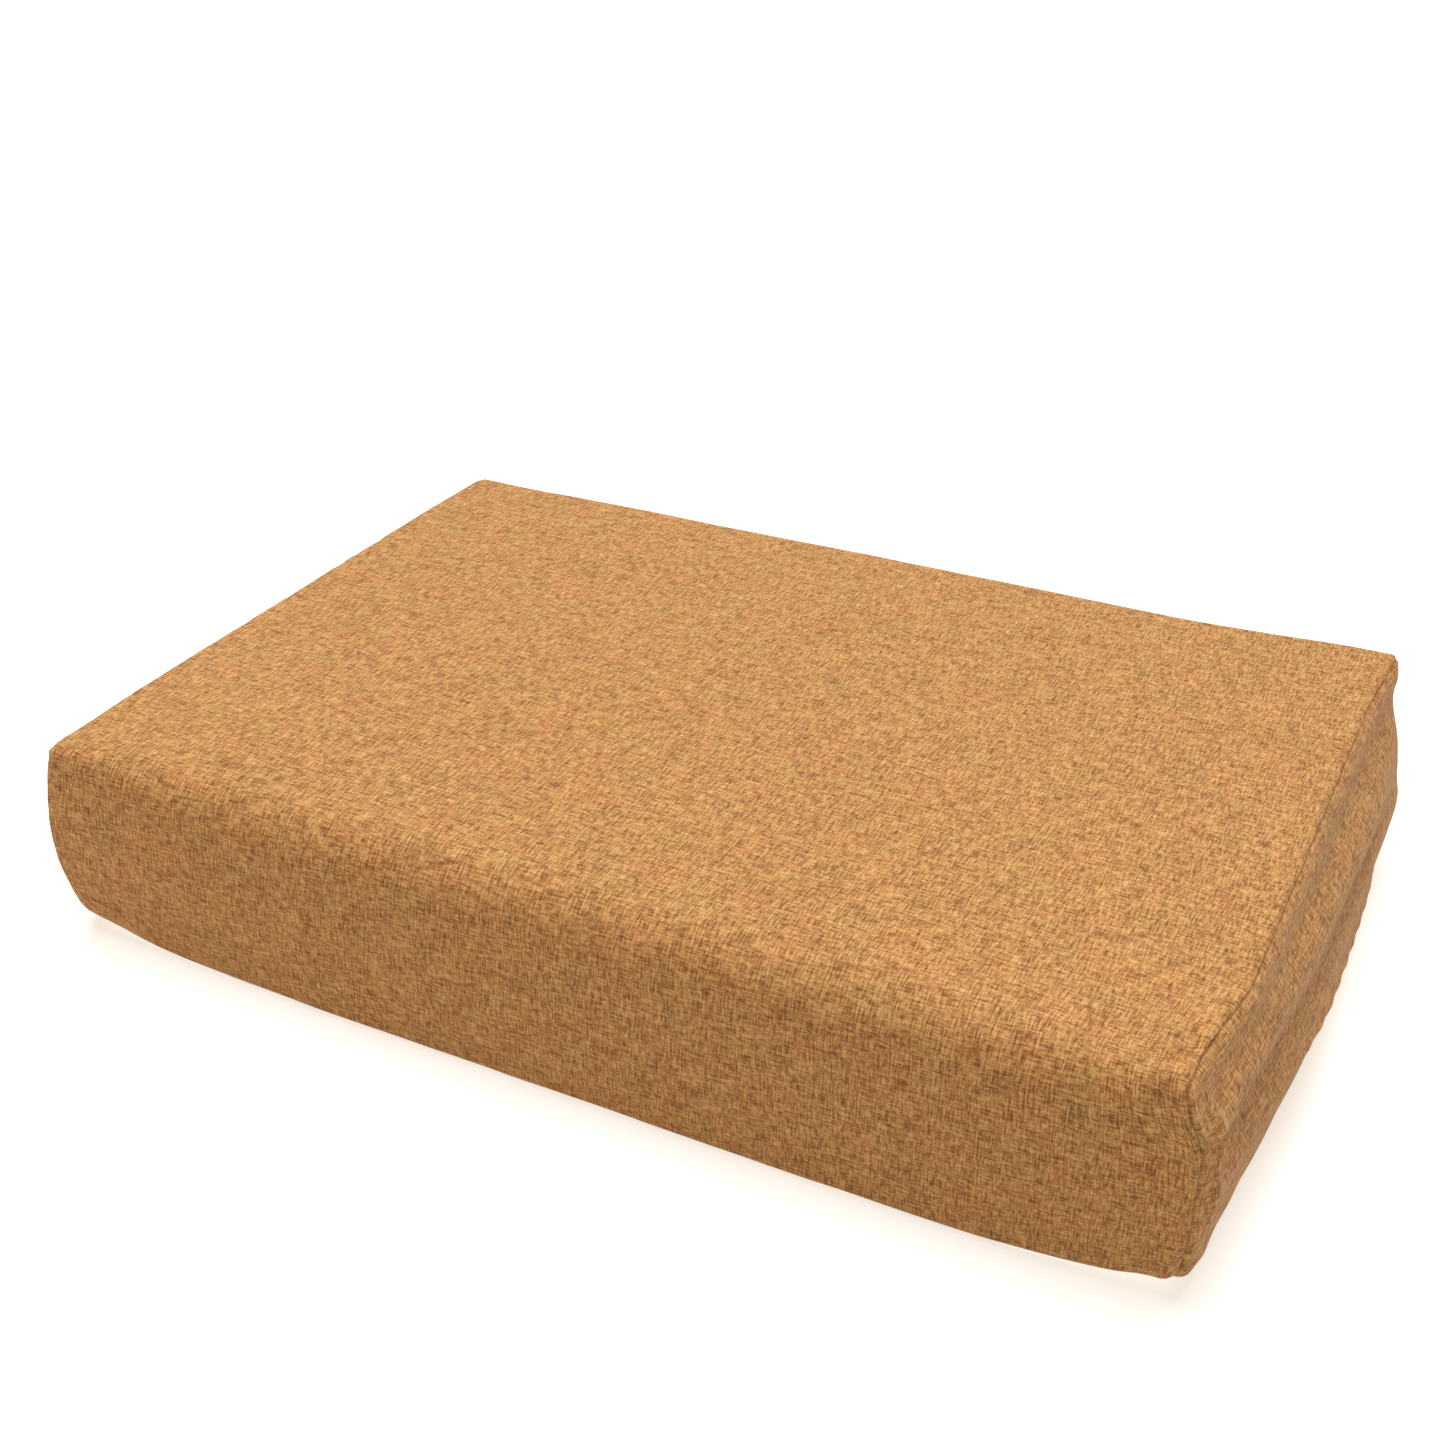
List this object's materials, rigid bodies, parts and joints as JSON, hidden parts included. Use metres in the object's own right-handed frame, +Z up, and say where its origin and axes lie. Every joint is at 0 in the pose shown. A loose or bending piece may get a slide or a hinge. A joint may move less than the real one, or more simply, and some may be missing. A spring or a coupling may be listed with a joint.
{
  "type": "pet cushion bed",
  "caption": "Rectangular washable pet cushion: foam core in a liner inside a woven linen-look cover with sewn end panels and a long coil zip across the back.",
  "frame": {"origin": "middle of the underside of the cover, on the surface that the bed rests on", "axes": "+X along the long side, to the right as seen from the front; +Y towards the back, where the zip is; +Z up"},
  "size_m": [0.6, 0.4257, 0.112],
  "materials": {
    "cover_cloth": "golden-brown linen-look woven polyester, matt with a soft sheen",
    "base_cloth": "pale anti-slip woven base cloth",
    "label_satin": "blank white woven satin label",
    "liner_cloth": "thin undyed polyester liner",
    "firm_foam": "open-cell polyurethane foam, firm grade",
    "soft_foam": "open-cell polyurethane foam, soft grade",
    "zip_tape": "brown knitted polyester zip tape",
    "zip_coil": "brown nylon monofilament coil",
    "zip_metal": "die-cast zinc with an antique nickel plating"
  },
  "bodies": {
    "cushion": {"cover_wrap_panel": "cover_cloth", "cover_back_strip": "cover_cloth", "cover_side_left": "cover_cloth", "cover_side_right": "cover_cloth", "cover_base_panel": "base_cloth", "care_label": "label_satin", "liner_wrap": "liner_cloth", "liner_end_left": "liner_cloth", "liner_end_right": "liner_cloth", "support_foam": "firm_foam", "comfort_foam": "soft_foam", "zip_tape_upper": "zip_tape", "zip_tape_lower": "zip_tape", "zip_coil_upper": "zip_coil", "zip_coil_lower": "zip_coil"},
    "slider": {"zip_slider": "zip_metal"},
    "pull_tab": {"zip_pull_tab": "zip_metal"}
  },
  "joints": [
    {"name": "zip_travel", "type": "slide", "parent": "cushion", "child": "slider", "axis": [-1, 0, 0], "range_m": [0, 0.5235]},
    {"name": "pull_swing", "type": "hinge", "parent": "slider", "child": "pull_tab", "pos_m": [0.26175, 0.2138, 0.036], "axis": [0, 0, 1], "range_deg": [0, 175]}
  ]
}
